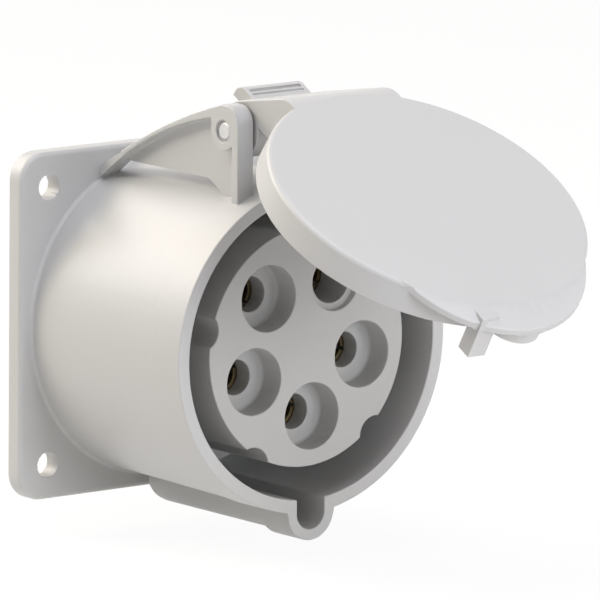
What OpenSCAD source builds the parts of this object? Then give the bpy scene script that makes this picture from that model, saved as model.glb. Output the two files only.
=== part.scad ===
// Five pole industrial panel socket with a sprung hinged lid, 32 A size.
// The origin is the centre of the flange's back face. The socket faces -Y, and +Z is up.
// Sections are drawn with a forward distance f = -y, measured from the panel plane.

/* [Flange] */
// Side of the square flange
flange_side = 75; // [74:0.5:80]
// Thickness of the flange
flange_thick = 4.2; // [3.6:0.2:5]
// Corner radius of the flange
flange_corner = 6; // [4:0.5:7]
// Distance between mounting holes, both ways
hole_spacing = 60; // [59:0.5:61]
// Diameter of a mounting hole
hole_d = 5.5; // [4.5:0.1:6]

/* [Barrel] */
// Forward distance of the barrel's rim
rim_f = 57; // [56:0.5:58]
// Outer radius of the barrel's front collar
collar_r = 35.4; // [35.2:0.1:35.6]
// Bore radius of the barrel
bore_r = 32.5; // [32.3:0.1:32.8]
// Half width of the keyway groove
key_half = 3.65; // [3.4:0.05:3.9]
// Depth of the keyway groove's floor below the socket's axis
key_depth = 38.9; // [38.5:0.1:39.1]

/* [Hinge] */
// Forward distance of the hinge pin
pin_f = 47; // [46.5:0.5:47.5]
// Height of the hinge pin
pin_z = 46.4; // [46:0.2:46.8]
// Diameter of the hinge pin
pin_d = 4; // [3.6:0.1:4.2]
// Distance from the middle to the inner face of an ear
ear_in = 12.4; // [12.3:0.1:12.8]
// Thickness of an ear
ear_thick = 4.2; // [3.6:0.1:4.6]

/* [Lid] */
// How far the lid stands open, in degrees
lid_open = 60; // [0:1:120]
// Outer radius of the lid's disc
lid_r = 35.2; // [35:0.1:35.4]
// Distance from the hinge pin's axis to the lid's outer face
lid_h = 17; // [16.8:0.1:17.4]
// Radius of the nose
nose_r = 25.6; // [25:0.1:26]
// Distance from the lid's centre to the nose's tip
nose_reach = 41.7; // [41.3:0.1:42]

/* [Contacts] */
// Radius of the circle that the contacts stand on
contact_circle = 15.15; // [14.8:0.05:15.5]
// Diameter of a phase or neutral pin
phase_pin_d = 6; // [5.8:0.1:6.2]
// Diameter of the earth pin
earth_pin_d = 8; // [7.8:0.1:8.2]
// Clock angle of the earth contact, seen from the front
earth_angle = 60; // [60:72:348]
// Radius of the insert in the socket's mouth
insert_r = 25.75; // [25.4:0.05:26]

/* [Hidden] */
$fn = 96;

plastic_grey = [0.83, 0.84, 0.83];
insert_grey = [0.74, 0.75, 0.75];
brass = [0.80, 0.62, 0.28];
zinc = [0.72, 0.73, 0.75];
rubber_grey = [0.30, 0.31, 0.32];

flange_edge_r = 1;
flange_fillet = 1;
barrel_back_r = 34.4;
barrel_step_f = 47;
barrel_step = 0.25;

bulge_z = -35.15;
bulge_front_r = 6.15;
bulge_back_r = 5.3;
bulge_back_f = 7.3;
bulge_round = 3.8;
key_end_f = 16;

ledge_f = 9.5;
ledge_top_f = 14.5;
ledge_r = 26.2;
seat_r = 32.2;

ear_out = ear_in + ear_thick;
ear_front_f = 52.2;
ear_arc_r = 168.98;
ear_arc_f = 93.44;
ear_arc_z = -110.28;
ear_corner_r = 4;
ear_top_z = 52;
ear_low_z = 26;
web_depth = 2.4;
web_arc_r = 94.72;
web_arc_f = 62.27;
web_arc_z = -43.99;
web_rim = 2.2;
boss_r = 4.2;
window_top_z = 35.25;
window_arc_f = 35.2;
window_arc_z = 23.9;
window_arc_r = 11.9;

gasket_in = 33.4;
gasket_out = 36.4;
gasket_depth = 1.6;

insert_face_f = 55;
insert_collar_f = 5.5;
insert_collar_r = 31.9;
counterbore_r = 7.15;
counterbore_depth = 6.5;
guide_depth = 4.6;
groove_r = 4.1;
groove_circle = 28.1;

block_r = 24;
block_back_f = -15;
block_wall = 2.5;
block_groove_r = 5;

sleeve_tip_f = 43.6;
pin_hole_f = 15;
slot_root_f = 21;
slot_w = 0.8;
seat_flange_f = 8.4;
terminal_r = 4.6;
terminal_end_f = -12;
wire_r = 3;
wire_hole_f = 1.5;
clamp_f = -5;
clamp_r = 2;
clamp_len = 5.8;
clamp_access_r = 3;
clamp_slot_w = 0.7;
ring_f = 38.5;
ring_w = 1.8;
ring_gap = 1.2;

knuckle_r = 6;
knuckle_half = 11.9;
neck_half = 14.1;
neck_flare_n = 5.6;
neck_slope = 39.3;
neck_round = 7.3;
neck_bottom_u = 10.4;
neck_back_n = 3.85;
neck_skin = 1.8;
neck_floor = 1.5;
hollow_half = 6.6;
neck_back_angle = 115;
lid_gap = 0.3;
lid_skin = 2.5;
lid_wall = 1.6;
lid_edge_r = 1.2;
lid_rim_r = 35.7;
recess_r = 28.4;
seal_in = 29.6;
hook_x = -11.9;
hook_z = -38.8;
hook_w = 4.6;
hook_h = 3.6;
hook_reach = 10;
lid_back_f = rim_f + lid_gap;
lid_face_f = pin_f + lid_h;
nose_thick = 1.55;
nose_fall = 0.42;
lip_wall = 1.8;
tab_half = 7.75;
tab_top = 9.9;
tab_back = 1.1;
tab_front = 4.6;
tab_round = 2.9;
tab_groove_zs = [5.4, 6.6];
tab_groove_w = 0.6;
tab_groove_depth = 0.5;

insert_screw_angles = [24, 204];
insert_screw_r = 29.2;
screw_core_r = 1.5;
screw_head_r = 2.9;
screw_head_h = 2;
carrier_screw_tip_f = 18;
screw_play = 0.3;
cross_half = 1.6;
cross_w = 0.7;

spring_turns = 9;
spring_mean_r = 2.95;
spring_wire = 0.9;
spring_pitch = 1.05;
foot_angle = -50;
foot_length = 14.05;
arm_angle = -75;
arm_length = 9;

EARTH = 0;
L1 = 1;
L2 = 2;
L3 = 3;
NEUTRAL = 4;

function contact_angle(i) = earth_angle + 72 * i;
function pin_r(i) = (i == EARTH ? earth_pin_d : phase_pin_d) / 2;
function sleeve_r(i) = pin_r(i) + 1.1;
function guide_r(i) = pin_r(i) + 0.8;
function chamber_r(i) = sleeve_r(i) + 0.8;
function seat_bore_r(i) = sleeve_r(i) + 1.4;

// Turns a section drawn as [radius, forward distance] about the socket's axis
module spin(deg = 360) {
    rotate([90, 0, 0]) rotate_extrude(angle = deg) children();
}

// Pulls a front view, drawn as [x, z], forward from f0 to f1
module forward(f0, f1) {
    translate([0, -f0, 0]) rotate([90, 0, 0]) linear_extrude(f1 - f0) children();
}

// Pulls a side view, drawn as [forward distance, z], across from x0 to x1
module across(x0, x1) {
    translate([x1, 0, 0]) rotate([90, 0, -90]) linear_extrude(x1 - x0) children();
}

// A round bar along X through a point of the side view
module cross_bar(f, z, r, x0, x1) {
    translate([x0, -f, z]) rotate([0, 90, 0]) cylinder(r = r, h = x1 - x0);
}

// A round bar along the socket's axis through a point of the front view
module front_bar(x, z, r, f0, f1) {
    translate([x, -f0, z]) rotate([90, 0, 0]) cylinder(r = r, h = f1 - f0);
}

// Half section of a plate from the middle to its edge, with the front edge rounded
module edge_section(half, f0, f1, r) {
    translate([0, f0]) square([half - r, f1 - f0]);
    translate([0, f0]) square([half, f1 - f0 - r]);
    translate([half - r, f1 - r]) circle(r);
}

module at_contact(i) {
    rotate([0, -contact_angle(i), 0]) translate([contact_circle, 0, 0]) children();
}

module flange_plate() {
    half = flange_side / 2;
    straight = half - flange_corner;
    for (turn = [0, 90, 180, 270]) rotate([0, turn, 0]) {
        translate([0, 0, -straight]) linear_extrude(2 * straight)
            mirror([0, 1]) edge_section(half, 0, flange_thick, flange_edge_r);
        translate([straight, 0, straight]) spin()
            edge_section(flange_corner, 0, flange_thick, flange_edge_r);
    }
}

module barrel_shell() {
    back_r = barrel_back_r;
    step_r = collar_r - barrel_step;
    spin() {
        polygon([
            [ledge_r - 2, 0], [back_r, 0], [back_r, flange_thick],
            [step_r, barrel_step_f], [collar_r, barrel_step_f + barrel_step],
            [collar_r, rim_f], [ledge_r - 2, rim_f]
        ]);
        difference() {
            translate([back_r - 1, flange_thick - 1]) square([1 + flange_fillet, 1 + flange_fillet]);
            translate([back_r + flange_fillet, flange_thick + flange_fillet]) circle(flange_fillet);
        }
    }
}

module key_section(r, z) {
    translate([0, z]) circle(r);
    translate([-r, z]) square([2 * r, -z - bore_r + 2]);
}

module keyway_bulge() {
    low = bulge_z - bulge_back_r;
    intersection() {
        forward(bulge_back_f, barrel_step_f) key_section(bulge_back_r, bulge_z);
        across(-10, 10) {
            translate([bulge_back_f, low + bulge_round]) square([rim_f, 20]);
            translate([bulge_back_f + bulge_round, low]) square([rim_f, 20]);
            translate([bulge_back_f + bulge_round, low + bulge_round]) circle(bulge_round);
        }
    }
    forward(barrel_step_f, rim_f) key_section(bulge_front_r, bulge_z);
}

module ear_outline() {
    corner_f = ear_front_f - ear_corner_r;
    corner_z = ear_top_z - ear_corner_r;
    back_f = flange_thick - 1;
    intersection() {
        translate([ear_arc_f, ear_arc_z]) circle(ear_arc_r, $fn = 256);
        union() {
            translate([back_f, ear_low_z]) square([corner_f - back_f, ear_top_z - ear_low_z]);
            translate([back_f, ear_low_z]) square([ear_front_f - back_f, corner_z - ear_low_z]);
            translate([corner_f, corner_z]) circle(ear_corner_r);
        }
    }
}

// Pocket in the ear's outer side, under its arched rim and round the pin's boss
module pocket_outline() {
    difference() {
        intersection() {
            translate([web_arc_f, web_arc_z]) circle(web_arc_r, $fn = 256);
            translate([flange_thick, ear_low_z - 1])
                square([ear_front_f - web_rim - flange_thick, ear_top_z]);
        }
        translate([pin_f, pin_z]) circle(boss_r);
        translate([pin_f - boss_r, pin_z]) square([2 * boss_r, boss_r + 4]);
    }
}

// Long window between the barrel and the ear's web, curved down at its front end
module window_outline() {
    intersection() {
        translate([web_arc_f, web_arc_z]) circle(web_arc_r, $fn = 256);
        union() {
            translate([flange_thick, ear_low_z - 1])
                square([window_arc_f + 3 - flange_thick, window_top_z - ear_low_z + 1]);
            intersection() {
                translate([window_arc_f, window_arc_z]) circle(window_arc_r);
                translate([window_arc_f, ear_low_z - 1])
                    square([window_arc_r + 1, window_top_z - ear_low_z + 1]);
            }
        }
    }
}

// One hinge ear: an arched plate with a pocket in its outer side, round at the pin
module ear() {
    difference() {
        across(ear_in, ear_out) ear_outline();
        across(ear_out - web_depth, ear_out + 1) pocket_outline();
        across(ear_in - 1, ear_out - web_depth + 0.5) window_outline();
    }
}

module housing() {
    color(plastic_grey) difference() {
        union() {
            flange_plate();
            barrel_shell();
            keyway_bulge();
            for (side = [0, 1]) mirror([side, 0, 0]) ear();
        }
        spin() {
            translate([0, ledge_top_f]) square([bore_r, rim_f]);
            translate([0, ledge_f - 1]) square([ledge_r, ledge_top_f]);
            translate([0, -1]) square([seat_r, ledge_f + 1]);
            translate([gasket_in, -1]) square([gasket_out - gasket_in, gasket_depth + 1]);
        }
        forward(key_end_f, rim_f + 1) {
            translate([0, -key_depth + key_half]) circle(key_half);
            translate([-key_half, -key_depth + key_half]) square([2 * key_half, key_half + 3]);
        }
        for (x = [-1, 1], z = [-1, 1])
            front_bar(x * hole_spacing / 2, z * hole_spacing / 2, hole_d / 2, -1, flange_thick + 1);
        cross_bar(pin_f, pin_z, pin_d / 2 + 0.02, -ear_out - 1, ear_out + 1);
        for (side = [0, 1]) mirror([side, 0, 0])
            cross_bar(pin_f, pin_z, pin_d / 2 + 0.4, ear_out - 0.6, ear_out + 1);
        for (a = insert_screw_angles) rotate([0, -a, 0])
            front_bar(insert_screw_r, 0, screw_core_r, ledge_f - 1, ledge_f + 4);
    }
}

// Rubber ring that seals the flange to the panel
module flange_gasket() {
    color(rubber_grey) spin() translate([gasket_in + 0.05, 0.1])
        square([gasket_out - gasket_in - 0.1, gasket_depth - 0.1]);
}

// Front half of the contact carrier, with a counterbored guide for each pin
module insert_front() {
    color(insert_grey) difference() {
        spin() {
            translate([0, insert_collar_f]) square([insert_r, insert_face_f - insert_collar_f]);
            translate([0, insert_collar_f]) square([insert_collar_r, ledge_f - insert_collar_f - 0.02]);
        }
        for (i = [0:4]) rotate([0, -contact_angle(i) - 36, 0])
            front_bar(groove_circle, 0, groove_r, ledge_f, rim_f);
        for (i = [0:4]) at_contact(i) {
            front_bar(0, 0, counterbore_r, insert_face_f - counterbore_depth, rim_f);
            front_bar(0, 0, guide_r(i), 0, rim_f);
            front_bar(0, 0, chamber_r(i), 0, insert_face_f - counterbore_depth - guide_depth);
            front_bar(0, 0, seat_bore_r(i), 0, seat_flange_f + 0.1);
        }
        for (a = insert_screw_angles) rotate([0, -a, 0])
            front_bar(insert_screw_r, 0, screw_core_r + screw_play, 0, ledge_f + 1);
        front_bar(0, 0, screw_core_r + 0.02, 0, carrier_screw_tip_f + 2);
    }
}

// Rear half of the carrier, which holds the terminals behind the panel
module insert_rear() {
    color(insert_grey) difference() {
        spin() translate([0, block_back_f]) square([block_r, insert_collar_f - block_back_f]);
        for (i = [0:4]) rotate([0, -contact_angle(i) - 36, 0])
            front_bar(block_r + 2, 0, block_groove_r, block_back_f - 1, insert_collar_f - 3);
        for (i = [0:4]) at_contact(i) {
            front_bar(0, 0, terminal_r + 0.2, block_back_f + block_wall, insert_collar_f + 1);
            front_bar(0, 0, wire_r + 0.5, block_back_f - 1, 0);
            translate([0, -clamp_f, 0]) rotate([0, 90, 0]) cylinder(r = clamp_access_r, h = block_r);
        }
        front_bar(0, 0, screw_core_r + screw_play, block_back_f - 1, insert_collar_f + 1);
        front_bar(0, 0, screw_head_r + screw_play, block_back_f - 1, block_back_f + screw_head_h + 1);
    }
}

// A cross headed screw that enters from the back, its head's back face at f
module back_screw(f, tip_f) {
    difference() {
        union() {
            front_bar(0, 0, screw_head_r, f, f + screw_head_h);
            front_bar(0, 0, screw_core_r, f, tip_f);
        }
        for (turn = [0, 90]) rotate([0, turn, 0])
            translate([-cross_half, -f - 1, -cross_w / 2]) cube([2 * cross_half, 2, cross_w]);
    }
}

// Two screws that hold the carrier against the housing's ledge
module insert_screws() {
    color(zinc) for (a = insert_screw_angles) rotate([0, -a, 0])
        translate([insert_screw_r, 0, 0]) back_screw(insert_collar_f - screw_head_h, ledge_f + 3.5);
}

// The screw that clamps the two halves of the carrier together
module carrier_screw() {
    color(zinc) back_screw(block_back_f + 1, carrier_screw_tip_f);
}

// Slotted brass sleeve and its wire terminal, turned in one piece
module contact(i) {
    r = sleeve_r(i);
    color(brass) at_contact(i) difference() {
        union() {
            front_bar(0, 0, r, insert_collar_f, sleeve_tip_f);
            front_bar(0, 0, r + 1.2, insert_collar_f, seat_flange_f);
            front_bar(0, 0, terminal_r, terminal_end_f, insert_collar_f);
        }
        front_bar(0, 0, pin_r(i) + 0.1, pin_hole_f, rim_f);
        for (turn = [0, 90]) rotate([0, turn, 0])
            translate([-slot_w / 2, -sleeve_tip_f - 1, -r - 1])
                cube([slot_w, sleeve_tip_f + 1 - slot_root_f, 2 * r + 2]);
        spin() translate([r - 0.3, ring_f]) square([1, ring_w]);
        front_bar(0, 0, wire_r, terminal_end_f - 1, wire_hole_f);
        translate([0, -clamp_f, 0]) rotate([0, 90, 0]) cylinder(r = clamp_r, h = 10);
    }
}

// Open steel ring that presses the sleeve's fingers onto the pin
module ring(i) {
    r = sleeve_r(i);
    color(zinc) at_contact(i) difference() {
        spin() translate([r - 0.28, ring_f + 0.02]) square([0.9, ring_w - 0.04]);
        translate([0, -ring_f - ring_w - 1, -ring_gap / 2]) cube([10, ring_w + 2, ring_gap]);
    }
}

// Slotted clamp screws, one in each terminal
module terminal_screws() {
    color(zinc) for (i = [0:4]) at_contact(i) difference() {
        translate([wire_r, -clamp_f, 0]) rotate([0, 90, 0]) cylinder(r = clamp_r - 0.02, h = clamp_len);
        translate([wire_r + clamp_len - 1, -clamp_f - clamp_r - 1, -clamp_slot_w / 2])
            cube([2, 2 * clamp_r + 2, clamp_slot_w]);
    }
}

// Steel pin on which the lid turns
module hinge_pin() {
    half = ear_out - 0.3;
    color(zinc) translate([-half, -pin_f, pin_z]) rotate([0, 90, 0]) rotate_extrude()
        polygon([
            [0, 0], [pin_d / 2 - 0.4, 0], [pin_d / 2, 0.4],
            [pin_d / 2, 2 * half - 0.4], [pin_d / 2 - 0.4, 2 * half], [0, 2 * half]
        ]);
}

// Centre line as [x, forward, up] from the pin: foot on the barrel, coil, arm in the lid
function spring_path() =
    let (
        n = 16,
        half = spring_turns * spring_pitch / 2,
        sweep = 360 * spring_turns + arm_angle - foot_angle,
        steps = round(sweep / 360 * n),
        way = function (a) [0, -sin(a), cos(a)],
        on_coil = function (a, x) [x, spring_mean_r * cos(a), spring_mean_r * sin(a)],
        start = on_coil(foot_angle, half),
        end = on_coil(arm_angle, -half)
    )
    concat(
        [start - foot_length * way(foot_angle), start - foot_length / 2 * way(foot_angle)],
        [for (k = [0:steps]) on_coil(foot_angle + sweep * k / steps, half * (1 - 2 * k / steps))],
        [end + arm_length / 2 * way(arm_angle), end + arm_length * way(arm_angle)]
    );

module wire(path, r, sides) {
    n = len(path);
    function unit(v) = v / norm(v);
    function way(k) = unit(path[min(k + 1, n - 1)] - path[max(k - 1, 0)]);
    function side_of(k) = unit(cross(way(k), [1, 0, 0]));
    ring_points = [for (k = [0:n - 1], s = [0:sides - 1])
        let (a = 360 * s / sides, u = side_of(k), v = cross(way(k), u))
        path[k] + r * (cos(a) * u + sin(a) * v)];
    walls = [for (k = [0:n - 2], s = [0:sides - 1])
        let (t = (s + 1) % sides)
        [k * sides + s, (k + 1) * sides + s, (k + 1) * sides + t, k * sides + t]];
    ends = [
        [for (s = [0:sides - 1]) s],
        [for (s = [sides - 1:-1:0]) (n - 1) * sides + s]
    ];
    polyhedron(points = ring_points, faces = concat(walls, ends), convexity = 10);
}

// Torsion spring round the pin, one leg on the barrel and one under the lid's neck
module lid_spring() {
    color(zinc) translate([0, -pin_f, pin_z])
        wire([for (p = spring_path()) [p.x, -p.y, p.z]], spring_wire / 2, 8);
}

module swing() {
    translate([0, -pin_f, pin_z]) rotate([-lid_open, 0, 0]) translate([0, pin_f, -pin_z]) children();
}

// The neck's side view, drawn about the pin with f forward and z up, lid closed
module neck_side() {
    c = cos(neck_slope);
    s = sin(neck_slope);
    round_f = lid_h - neck_round;
    round_z = -((c * round_f + neck_round - knuckle_r) / s);
    circle(knuckle_r);
    polygon([
        [knuckle_r * c, knuckle_r * s],
        [round_f + neck_round * c, round_z + neck_round * s],
        [lid_h, round_z],
        [lid_h, -20],
        [lid_back_f - pin_f, -20],
        [lid_back_f - pin_f, -neck_bottom_u],
        [neck_back_n, -neck_bottom_u],
        [neck_back_n, -4.5],
        [0, 0]
    ]);
    intersection() {
        translate([round_f, round_z]) circle(neck_round);
        translate([lid_back_f - pin_f, round_z]) square(neck_round);
    }
}

// Cavity in the neck for the spring, and the opening behind it
module neck_hollow_side() {
    inner = knuckle_r - neck_skin;
    c = cos(neck_slope);
    s = sin(neck_slope);
    floor_z = -neck_bottom_u + neck_floor;
    wall = inner - 0.06;
    circle(inner);
    polygon([
        [0, 0],
        [wall * c, wall * s],
        [wall * c + 11 * s, wall * s - 11 * c],
        [12, floor_z],
        [-10, floor_z],
        [-10, 10],
        [10 * cos(neck_back_angle), 10 * sin(neck_back_angle)]
    ]);
}

// Thumb tab over the knuckle, with two grooves across its front face
module thumb_tab() {
    difference() {
        across(-tab_half, tab_half) {
            translate([tab_back, 2]) square([tab_front - tab_back, tab_top - tab_round - 2]);
            intersection() {
                translate([tab_front - tab_round, tab_top - tab_round]) circle(tab_round);
                translate([tab_back, 2]) square(tab_top);
            }
        }
        across(1 - tab_half, tab_half - 1)
            for (z = tab_groove_zs) translate([tab_front - tab_groove_depth, z - tab_groove_w / 2])
                square([1, tab_groove_w]);
    }
}

// The neck widens evenly from the knuckle to the lid's face
module neck() {
    difference() {
        across(-neck_half - 1, neck_half + 1) neck_side();
        for (side = [0, 1]) mirror([side, 0, 0]) translate([0, 0, -30]) linear_extrude(45) polygon([
            [knuckle_half, 10], [knuckle_half, -neck_flare_n], [neck_half, -lid_h],
            [neck_half, -lid_h - 2], [neck_half + 3, -lid_h - 2], [neck_half + 3, 10]
        ]);
    }
    thumb_tab();
}

// The lid's front lip, which falls away as a shallow cone beyond the disc's edge
module nose() {
    end_r = nose_reach + 3;
    top_f = lid_face_f;
    end_f = top_f - nose_fall * (end_r - lid_r);
    intersection() {
        spin() polygon([
            [lid_r - 2.2, top_f], [lid_r, top_f], [end_r, end_f],
            [end_r, end_f - nose_thick], [lid_r, top_f - nose_thick], [lid_r - 2.2, top_f - nose_thick]
        ]);
        front_bar(0, nose_r - nose_reach, nose_r, lid_back_f, lid_face_f + 1);
    }
}

// Hood on the lid over the barrel's keyway, closed in front by the nose
module hood() {
    end_r = nose_reach + 3;
    top_f = lid_face_f - nose_thick / 2;
    intersection() {
        forward(lid_back_f, lid_face_f) key_section(bulge_front_r, bulge_z - 0.2);
        spin() polygon([
            [0, 0], [end_r, 0], [end_r, top_f - nose_fall * (end_r - lid_r)], [lid_r, top_f], [0, top_f]
        ]);
    }
}

module lid_closed() {
    inner_f = lid_face_f - lid_skin;
    difference() {
        union() {
            spin() {
                polygon([
                    [0, lid_back_f], [lid_rim_r, lid_back_f], [lid_r, lid_face_f - lid_edge_r],
                    [lid_r - lid_edge_r, lid_face_f], [0, lid_face_f]
                ]);
                translate([lid_r - lid_edge_r, lid_face_f - lid_edge_r]) circle(lid_edge_r);
            }
            nose();
            hood();
            translate([hook_x, -lid_face_f + 1, hook_z]) cube([hook_w, hook_reach, hook_h]);
            translate([0, -pin_f, pin_z]) neck();
        }
        spin() {
            translate([0, lid_back_f - 1]) square([recess_r, inner_f - lid_back_f + 1]);
            translate([0, lid_back_f - 1]) square([lid_r - lid_wall, 2.2]);
            translate([seal_in, lid_back_f - 1])
                square([lid_r - lid_wall - seal_in, inner_f - lid_back_f + 1]);
        }
        forward(lid_back_f - 1, inner_f - 2.4) key_section(bulge_front_r - lip_wall, bulge_z - 0.2);
        translate([0, -pin_f, pin_z]) across(-hollow_half, hollow_half) neck_hollow_side();
        cross_bar(pin_f, pin_z, pin_d / 2 + 0.05, -20, 20);
    }
}

// Sprung lid: disc, nose, hook, hinge neck and thumb tab in one moulding
module lid() {
    color(plastic_grey) swing() lid_closed();
}

// Rubber ring in the lid that meets the barrel's rim
module lid_gasket() {
    color(rubber_grey) swing() spin() translate([seal_in + 0.05, lid_back_f - 0.05])
        square([lid_r - lid_wall - seal_in - 0.1, lid_face_f - lid_skin - lid_back_f + 0.05]);
}

housing();
flange_gasket();
insert_front();
insert_rear();
insert_screws();
carrier_screw();
contact(EARTH);  // contact_pe
contact(L1);  // contact_l1
contact(L2);  // contact_l2
contact(L3);  // contact_l3
contact(NEUTRAL);  // contact_n
ring(EARTH);  // ring_pe
ring(L1);  // ring_l1
ring(L2);  // ring_l2
ring(L3);  // ring_l3
ring(NEUTRAL);  // ring_n
terminal_screws();
hinge_pin();
lid_spring();
lid();
lid_gasket();
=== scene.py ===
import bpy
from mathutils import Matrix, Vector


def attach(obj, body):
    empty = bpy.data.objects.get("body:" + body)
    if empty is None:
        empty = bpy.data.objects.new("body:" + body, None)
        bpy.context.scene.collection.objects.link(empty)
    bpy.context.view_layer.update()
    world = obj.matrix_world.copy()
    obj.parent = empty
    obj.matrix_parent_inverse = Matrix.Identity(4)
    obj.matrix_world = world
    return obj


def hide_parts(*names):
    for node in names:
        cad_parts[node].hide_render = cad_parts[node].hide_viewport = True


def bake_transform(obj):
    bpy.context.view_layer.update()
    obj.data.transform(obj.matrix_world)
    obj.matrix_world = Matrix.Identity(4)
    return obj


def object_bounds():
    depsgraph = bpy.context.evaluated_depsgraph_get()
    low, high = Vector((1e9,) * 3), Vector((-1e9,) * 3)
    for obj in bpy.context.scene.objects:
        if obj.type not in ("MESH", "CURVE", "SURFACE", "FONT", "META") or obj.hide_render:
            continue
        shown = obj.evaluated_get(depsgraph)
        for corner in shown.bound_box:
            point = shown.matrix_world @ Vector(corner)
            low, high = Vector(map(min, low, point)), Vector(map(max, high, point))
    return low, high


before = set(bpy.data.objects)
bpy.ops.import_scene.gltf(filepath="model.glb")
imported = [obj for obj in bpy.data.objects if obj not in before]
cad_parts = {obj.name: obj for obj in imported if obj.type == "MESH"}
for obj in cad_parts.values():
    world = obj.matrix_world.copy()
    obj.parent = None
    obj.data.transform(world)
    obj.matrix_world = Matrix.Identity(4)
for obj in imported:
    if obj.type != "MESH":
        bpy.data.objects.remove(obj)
cad_box = [list(corner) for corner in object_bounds()]

import math
import bmesh
import bpy
from mathutils import Matrix, Vector
from mathutils.bvhtree import BVHTree
from mathutils.kdtree import KDTree

scene = bpy.context.scene
scene.view_settings.view_transform = "Standard"

# Viewpoint
# The socket is seen from its front left and a little above, with a long lens.
# The camera stands at the angle, distance and roll of the photograph.
view_azimuth = math.radians(-38.0)
view_elevation = math.radians(10.01)
view_roll = math.radians(0.51)
view_focal_px = 11152.0
view_px_per_m = 4660.0
view_shift_right = -0.03239
view_shift_up = -0.00196
picture_px = 600
sensor_mm = 36

towards_camera = Vector((
    math.sin(view_azimuth) * math.cos(view_elevation),
    -math.cos(view_azimuth) * math.cos(view_elevation),
    math.sin(view_elevation),
))
level_right = Vector((math.cos(view_azimuth), math.sin(view_azimuth), 0))
level_up = towards_camera.cross(level_right)
camera_right = math.cos(view_roll) * level_right + math.sin(view_roll) * level_up
camera_up = math.cos(view_roll) * level_up - math.sin(view_roll) * level_right
camera_place = (
    view_focal_px / view_px_per_m * towards_camera
    - view_shift_right * camera_right
    - view_shift_up * camera_up
)
camera = bpy.data.objects.new("camera", bpy.data.cameras.new("camera"))
scene.collection.objects.link(camera)
camera.matrix_world = Matrix.Translation(camera_place) @ Matrix(
    (camera_right, camera_up, towards_camera)
).transposed().to_4x4()
camera.data.sensor_width = sensor_mm
camera.data.lens = view_focal_px * sensor_mm / picture_px
camera.data.clip_start = 0.05
camera.data.clip_end = 20
scene.camera = camera

# Studio
# A plain pale floor under the socket and a white surround, lit by large soft
# lamps: cooler ones above and in front, and warmer ones behind and at the left.
floor_drop = 0.004
floor_half = 3.0


def soft_lamp(name, place, size, power, colour):
    lamp = bpy.data.objects.new(name, bpy.data.lights.new(name, "AREA"))
    lamp.data.shape = "DISK"
    lamp.data.size = size
    lamp.data.energy = power
    lamp.data.color = colour
    lamp.location = place
    lamp.rotation_euler = (-Vector(place)).to_track_quat("-Z", "Y").to_euler()
    scene.collection.objects.link(lamp)
    return lamp


soft_lamp("lamp_key", (-0.55, 0.0, 0.85), 0.6, 2.1, (0.88, 0.91, 1.0))
soft_lamp("lamp_behind", (-0.16, 0.85, 0.62), 0.5, 2.9, (1.0, 0.89, 0.8))
soft_lamp("lamp_top", (0.0, -0.1, 1.0), 0.6, 2.9, (1.0, 0.96, 0.96))
soft_lamp("lamp_low", (0.1, -1.0, 0.08), 0.5, 4.3, (0.94, 0.95, 1.0))
soft_lamp("lamp_right", (0.6, -0.85, 0.25), 0.6, 1.1, (1.0, 0.89, 0.70))
soft_lamp("lamp_left", (-0.6, 0.55, 0.6), 0.5, 4.4, (1.0, 0.92, 0.69))
soft_lamp("lamp_edge", (-0.4, 0.7, 0.35), 0.4, 1.8, (0.96, 0.93, 1.0))
soft_lamp("lamp_front", (0.0, -0.75, 0.7), 0.5, 3.5, (0.86, 0.89, 1.0))


def white_to_camera(tree, shaded, white_kind, strength, share):
    """Shows white to the camera and in gloss, and keeps a share of the shading."""
    nodes, links = tree.nodes, tree.links
    path = nodes.new("ShaderNodeLightPath")
    seen = nodes.new("ShaderNodeMath")
    seen.operation = "MAXIMUM"
    links.new(path.outputs["Is Camera Ray"], seen.inputs[0])
    either = nodes.new("ShaderNodeMath")
    either.operation = "MAXIMUM"
    links.new(path.outputs["Is Glossy Ray"], either.inputs[0])
    links.new(path.outputs["Is Transmission Ray"], either.inputs[1])
    links.new(either.outputs[0], seen.inputs[1])
    amount = nodes.new("ShaderNodeMath")
    amount.operation = "MULTIPLY"
    amount.inputs[1].default_value = share
    links.new(seen.outputs[0], amount.inputs[0])
    white = nodes.new(white_kind)
    white.inputs["Color"].default_value = (1, 1, 1, 1)
    white.inputs["Strength"].default_value = strength
    mix = nodes.new("ShaderNodeMixShader")
    links.new(amount.outputs[0], mix.inputs["Fac"])
    links.new(shaded.outputs[0], mix.inputs[1])
    links.new(white.outputs[0], mix.inputs[2])
    return mix


world = bpy.data.worlds.new("studio")
scene.world = world
world.use_nodes = True
sky = world.node_tree.nodes["Background"]
sky.inputs["Color"].default_value = (1.0, 0.6, 0.4, 1)
sky.inputs["Strength"].default_value = 0.06
surround = white_to_camera(world.node_tree, sky, "ShaderNodeBackground", 1.0, 1.0)
world_output = world.node_tree.nodes["World Output"]
world.node_tree.links.new(surround.outputs[0], world_output.inputs["Surface"])

floor_paint = bpy.data.materials.new("floor_paint")
floor_paint.use_nodes = True
floor_nodes = floor_paint.node_tree.nodes
matt = floor_nodes["Principled BSDF"]
matt.inputs["Base Color"].default_value = (0.80, 0.80, 0.80, 1)
matt.inputs["Roughness"].default_value = 0.9
floor_mix = white_to_camera(floor_paint.node_tree, matt, "ShaderNodeEmission", 1.04, 0.9)
floor_output = floor_nodes["Material Output"]
floor_paint.node_tree.links.new(floor_mix.outputs[0], floor_output.inputs["Surface"])

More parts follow.
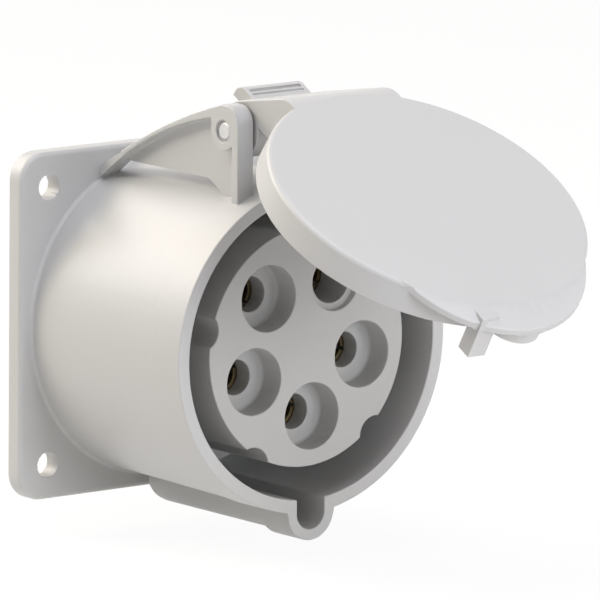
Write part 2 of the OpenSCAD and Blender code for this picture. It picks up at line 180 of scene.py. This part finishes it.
floor_z = cad_box[0][2] - floor_drop
floor_mesh = bpy.data.meshes.new("floor")
floor_mesh.from_pydata(
    [(-floor_half, -floor_half, floor_z), (floor_half, -floor_half, floor_z),
     (floor_half, floor_half, floor_z), (-floor_half, floor_half, floor_z)],
    [], [(0, 1, 2, 3)],
)
floor = bpy.data.objects.new("floor", floor_mesh)
scene.collection.objects.link(floor)
floor.data.materials.append(floor_paint)

# Housing
# Flange, barrel, keyway bulge and hinge ears are one moulding in light grey
# plastic with a fine satin grain. The mould leaves most edges a little round.
grey_colour = (0.575, 0.583, 0.580, 1)
crease_angle = math.radians(38)
weld = 0.00002
flat_angle = math.radians(0.3)
rounding_segments = 3
rounding_tries = 12
least_rounding = 0.00005
off_skin_share = 0.45
trial_step = 0.0005
most_strip_corners = 6
least_area = 1e-12
turned_over = -0.1


def moulded_plastic(name, colour, roughness, grain=0.02):
    """Satin plastic: an even colour that drifts very slightly, and a fine grain."""
    material = bpy.data.materials.new(name)
    material.use_nodes = True
    nodes, links = material.node_tree.nodes, material.node_tree.links
    shader = nodes["Principled BSDF"]
    shader.inputs["IOR"].default_value = 1.49
    place = nodes.new("ShaderNodeTexCoord")
    cloud = nodes.new("ShaderNodeTexNoise")
    cloud.inputs["Scale"].default_value = 45
    cloud.inputs["Detail"].default_value = 3
    links.new(place.outputs["Object"], cloud.inputs["Vector"])
    tint = nodes.new("ShaderNodeMix")
    tint.data_type = "RGBA"
    tint.inputs["A"].default_value = tuple(c * 0.985 for c in colour[:3]) + (1,)
    tint.inputs["B"].default_value = tuple(min(1, c * 1.015) for c in colour[:3]) + (1,)
    links.new(cloud.outputs["Fac"], tint.inputs["Factor"])
    links.new(tint.outputs["Result"], shader.inputs["Base Color"])
    gloss = nodes.new("ShaderNodeMapRange")
    gloss.inputs["To Min"].default_value = roughness - 0.03
    gloss.inputs["To Max"].default_value = roughness + 0.03
    links.new(cloud.outputs["Fac"], gloss.inputs["Value"])
    links.new(gloss.outputs["Result"], shader.inputs["Roughness"])
    fine = nodes.new("ShaderNodeTexNoise")
    fine.inputs["Scale"].default_value = 5200
    fine.inputs["Detail"].default_value = 2
    links.new(place.outputs["Object"], fine.inputs["Vector"])
    bump = nodes.new("ShaderNodeBump")
    bump.inputs["Strength"].default_value = grain
    bump.inputs["Distance"].default_value = 0.0001
    links.new(fine.outputs["Fac"], bump.inputs["Height"])
    links.new(bump.outputs["Normal"], shader.inputs["Normal"])
    return material


def merged_copy(node):
    """A CAD solid's triangles as one closed bmesh with its flat faces whole."""
    solid = bmesh.new()
    solid.from_mesh(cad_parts[node].data)
    bmesh.ops.remove_doubles(solid, verts=solid.verts, dist=weld)
    bmesh.ops.dissolve_degenerate(solid, dist=weld, edges=solid.edges)
    bmesh.ops.dissolve_limit(
        solid, angle_limit=flat_angle, verts=solid.verts, edges=solid.edges,
        use_dissolve_boundaries=False,
    )
    return solid


def strays(finished, skin, corners, radii):
    """Places where a rounded mesh leaves its solid's skin, or folds over."""
    near = KDTree(len(corners))
    for number, edge in enumerate(corners):
        near.insert(edge.middle, number)
    near.balance()
    found = []
    for vertex in finished.vertices:
        radius = radii[near.find(vertex.co)[1]]
        if skin.find_nearest(vertex.co)[3] > off_skin_share * max(radius, least_rounding):
            found.append(vertex.co.copy())
    for face in finished.polygons:
        if len(face.vertices) <= most_strip_corners and face.area > least_area:
            if face.normal.dot(skin.find_nearest(face.center)[1]) < turned_over:
                found.append(face.center.copy())
    return found


class Corner:
    """A sharp edge of a solid, and how much of its rounding fits there."""

    def __init__(self, edge, radius_at):
        self.index = edge.index
        ends = [vertex.co.copy() for vertex in edge.verts]
        self.middle = (ends[0] + ends[1]) / 2
        self.radius = radius_at(self.middle)
        self.share = 1.0
        steps = 1 + int((ends[0] - ends[1]).length / trial_step)
        self.places = [ends[0].lerp(ends[1], step / steps) for step in range(steps + 1)]


def rounded_copy(solid, name, radius_at):
    """A closed copy of a moulding's solid, its edges rounded as the mould leaves them.

    Where a rounding doesn't fit beside the next edge it is halved, and where
    that still folds over, the edge stays sharp.
    """
    solid.normal_update()
    skin = BVHTree.FromBMesh(solid)
    solid.edges.index_update()
    corners = [
        Corner(edge, radius_at) for edge in solid.edges
        if len(edge.link_faces) == 2 and edge.calc_face_angle(0) > crease_angle
    ]
    corners = [corner for corner in corners if corner.radius > 0]
    widest = max(corner.radius for corner in corners)
    weights = solid.edges.layers.float.new("bevel_weight_edge")
    solid.edges.ensure_lookup_table()
    piece = bpy.data.objects.new(name, bpy.data.meshes.new(name))
    scene.collection.objects.link(piece)
    rounding = piece.modifiers.new("rounding", "BEVEL")
    rounding.width = widest
    rounding.segments = rounding_segments
    rounding.limit_method = "WEIGHT"
    rounding.use_clamp_overlap = False
    rounding.miter_outer = "MITER_ARC"
    for _ in range(rounding_tries):
        for corner in corners:
            solid.edges[corner.index][weights] = corner.share * corner.radius / widest
        solid.to_mesh(piece.data)
        view = bpy.context.evaluated_depsgraph_get()
        view.update()
        finished = bpy.data.meshes.new_from_object(piece.evaluated_get(view))
        found = strays(finished, skin, corners, [c.radius * c.share for c in corners])
        if not found:
            break
        spots = KDTree(len(found))
        for number, place in enumerate(found):
            spots.insert(place, number)
        spots.balance()
        for corner in corners:
            reach = max(corner.radius, trial_step)
            if min(spots.find(place)[2] for place in corner.places) < reach:
                corner.share = 0.5 if corner.share == 1.0 else 0.0
    solid.free()
    piece.modifiers.clear()
    piece.data = finished
    for face in finished.polygons:
        face.use_smooth = True
    finished.set_sharp_from_angle(angle=crease_angle)
    even = piece.modifiers.new("even_shading", "WEIGHTED_NORMAL")
    even.keep_sharp = True
    return piece


# Distances along the barrel, from the panel face forward
flange_face = 0.0035
barrel_foot_end = 0.0090
ear_foot_end = 0.013
pocket_front = 0.0495
# Distances across it
barrel_foot_radius = 0.0375
ear_inner = 0.011
ear_low = 0.028
window_top = 0.0370
housing_radius = 0.00032


def housing_rounding(place):
    """Sharp at the barrel's foot and at the ears' feet and windows, round elsewhere."""
    forward = -place.y
    if flange_face < forward < barrel_foot_end and place.xz.length < barrel_foot_radius:
        return 0
    if abs(place.x) > ear_inner and place.z > ear_low and forward > flange_face:
        if forward < ear_foot_end or (place.z < window_top and forward < pocket_front):
            return 0
    return housing_radius


grey_plastic = moulded_plastic("grey_plastic", grey_colour, 0.40)
housing = rounded_copy(merged_copy("housing"), "housing_moulding", housing_rounding)
housing.data.materials.clear()
housing.data.materials.append(grey_plastic)
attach(housing, "socket")
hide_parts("housing")

# Lid
# Disc, lip, hood, hook, hinge neck and thumb tab are one moulding in the same
# plastic as the housing. It swings on the pin between the ears.
hinge_place = Vector((0, -0.0470, 0.0464))
tab_half_width = 0.008
tab_back = 0.010
tab_low = 0.001
tab_radius = 0.00015
lid_radius = 0.00030


def lid_rounding(place):
    """Finer on the thumb tab and its grooves, one rounding for the rest of the lid."""
    from_hinge = place - hinge_place
    on_tab = from_hinge.y > -tab_back and from_hinge.z > tab_low
    return tab_radius if on_tab and abs(place.x) < tab_half_width else lid_radius


lid = rounded_copy(merged_copy("lid"), "lid_moulding", lid_rounding)
lid.data.materials.clear()
lid.data.materials.append(grey_plastic)
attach(lid, "lid")
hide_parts("lid")

# Contact carrier
# Two mouldings in the same family of grey, a little duller than the housing.
# The front one has a counterbored guide for each of the five pins.
carrier_plastic = moulded_plastic("carrier_plastic", (0.52, 0.525, 0.52, 1), 0.46)
contact_circle = 0.01515
contact_angles = (60, 132, 204, 276, 348)
pin_axes = [
    contact_circle * Vector((math.cos(math.radians(angle)), 0, math.sin(math.radians(angle))))
    for angle in contact_angles
]
earth_axis = pin_axes[0]
carrier_face_y = -0.055
mouth_radius = 0.00715
mouth_depth = 0.0065
earth_mouth_radius = 0.0062
earth_mouth_depth = 0.0016
mouth_floor_radius = 0.0008
carrier_radius = 0.00025
depth_slack = 0.0001
rim_slack = 0.0002


def at_depth(place, depth):
    return abs(place.y - carrier_face_y - depth) < depth_slack


def carrier_rounding(place):
    """Fuller where a counterbore's wall meets its floor."""
    if not at_depth(place, mouth_depth):
        return carrier_radius
    for axis in pin_axes:
        offset = Vector((place.x - axis.x, 0, place.z - axis.z)).length
        if abs(offset - mouth_radius) < rim_slack:
            return mouth_floor_radius
    return carrier_radius


# The earth pin's mouth is narrower and much shallower than the other four
carrier_solid = merged_copy("insert_front")
for vertex in carrier_solid.verts:
    across = Vector((vertex.co.x - earth_axis.x, 0, vertex.co.z - earth_axis.z))
    deep = at_depth(vertex.co, mouth_depth)
    if across.length < mouth_radius + rim_slack and (deep or at_depth(vertex.co, 0)):
        if across.length > mouth_radius - rim_slack:
            across *= earth_mouth_radius / across.length
            vertex.co.x = earth_axis.x + across.x
            vertex.co.z = earth_axis.z + across.z
        if deep:
            vertex.co.y = carrier_face_y + earth_mouth_depth
carrier_front = rounded_copy(carrier_solid, "carrier_front", carrier_rounding)
carrier_front.data.materials.clear()
carrier_front.data.materials.append(carrier_plastic)
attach(carrier_front, "socket")
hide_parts("insert_front")


def finish_node(name, material):
    """Gives a solid that is already the right shape its real finish."""
    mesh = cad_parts[name].data
    mesh.materials.clear()
    mesh.materials.append(material)


finish_node("insert_rear", carrier_plastic)

# Metal parts
# Turned brass contact sleeves, their brass colour darkened as painted shade for
# their depth in the guide holes, zinc plated screws and rings, and a dull steel hinge pin.


def plated_metal(name, colour, roughness):
    """Bare or plated metal with fine marks in its colour and its gloss."""
    material = bpy.data.materials.new(name)
    material.use_nodes = True
    nodes, links = material.node_tree.nodes, material.node_tree.links
    shader = nodes["Principled BSDF"]
    shader.inputs["Metallic"].default_value = 1
    place = nodes.new("ShaderNodeTexCoord")
    marks = nodes.new("ShaderNodeTexNoise")
    marks.inputs["Scale"].default_value = 900
    marks.inputs["Detail"].default_value = 4
    links.new(place.outputs["Object"], marks.inputs["Vector"])
    gloss = nodes.new("ShaderNodeMapRange")
    gloss.inputs["To Min"].default_value = roughness - 0.07
    gloss.inputs["To Max"].default_value = roughness + 0.07
    links.new(marks.outputs["Fac"], gloss.inputs["Value"])
    links.new(gloss.outputs["Result"], shader.inputs["Roughness"])
    tint = nodes.new("ShaderNodeMix")
    tint.data_type = "RGBA"
    tint.inputs["A"].default_value = tuple(c * 0.93 for c in colour) + (1,)
    tint.inputs["B"].default_value = tuple(colour) + (1,)
    links.new(marks.outputs["Fac"], tint.inputs["Factor"])
    links.new(tint.outputs["Result"], shader.inputs["Base Color"])
    return material


# Painted shade: the brass colour is darkened well below bright brass because the sleeves sit
# deep in their holes.
contact_brass = plated_metal("contact_brass", (0.30, 0.235, 0.13), 0.48)
plated_steel = plated_metal("plated_steel", (0.66, 0.67, 0.69), 0.34)
pin_steel = plated_metal("pin_steel", (0.61, 0.605, 0.595), 0.55)
for name in ("pe", "l1", "l2", "l3", "n"):
    finish_node("contact_" + name, contact_brass)
    finish_node("ring_" + name, plated_steel)
for name in ("insert_screws", "carrier_screw", "terminal_screws"):
    finish_node(name, plated_steel)
finish_node("hinge_pin", pin_steel)

# Lid spring
# Wound steel wire round the hinge pin. Its foot stands on the barrel and its
# arm lies in the lid's neck.
spring = bpy.data.objects.new("wound_spring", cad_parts["lid_spring"].data.copy())
scene.collection.objects.link(spring)
spring.data.materials.clear()
spring.data.materials.append(plated_steel)
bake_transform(spring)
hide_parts("lid_spring")

# Seals
# Soft dark rubber rings, one in the flange's back face and one in the lid.
seal_rubber = moulded_plastic("seal_rubber", (0.045, 0.046, 0.048, 1), 0.7, 0.08)
finish_node("flange_gasket", seal_rubber)
finish_node("lid_gasket", seal_rubber)
